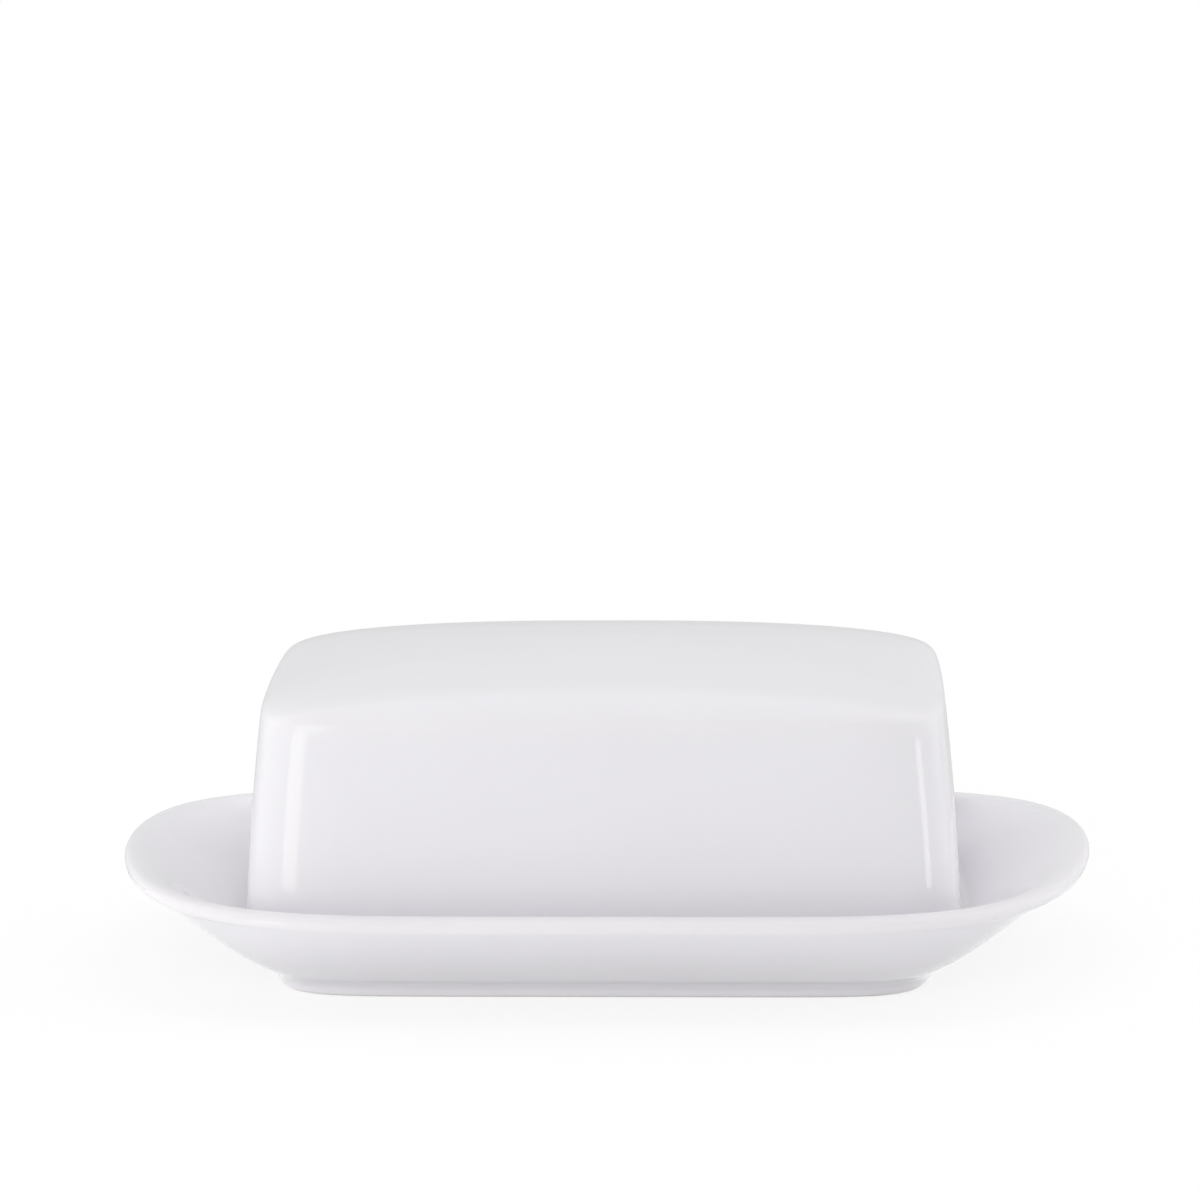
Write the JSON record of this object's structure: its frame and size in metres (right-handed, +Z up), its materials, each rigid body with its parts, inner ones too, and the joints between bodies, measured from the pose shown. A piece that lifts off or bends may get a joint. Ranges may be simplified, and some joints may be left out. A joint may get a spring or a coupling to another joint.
{
  "type": "butter dish",
  "caption": "Long boat-shaped butter dish on a low foot ring, with a loose loaf-shaped cover that lifts straight up off its flat well.",
  "frame": {"origin": "middle of the foot ring, on the surface that the dish stands on", "axes": "+X along the dish, +Y across it, away from the viewer of the long side, and +Z up through the crown of the cover"},
  "size_m": [0.1942, 0.1156, 0.064],
  "materials": {
    "porcelain": "clear gloss glaze over white porcelain, with a bare foot ring and a bare base edge on the cover"
  },
  "bodies": {
    "dish": {"dish": "porcelain"},
    "cover": {"cover": "porcelain"}
  },
  "joints": [
    {"name": "cover_lift", "type": "slide", "parent": "dish", "child": "cover", "axis": [0, 0, 1], "range_m": [0, 0.09]}
  ]
}
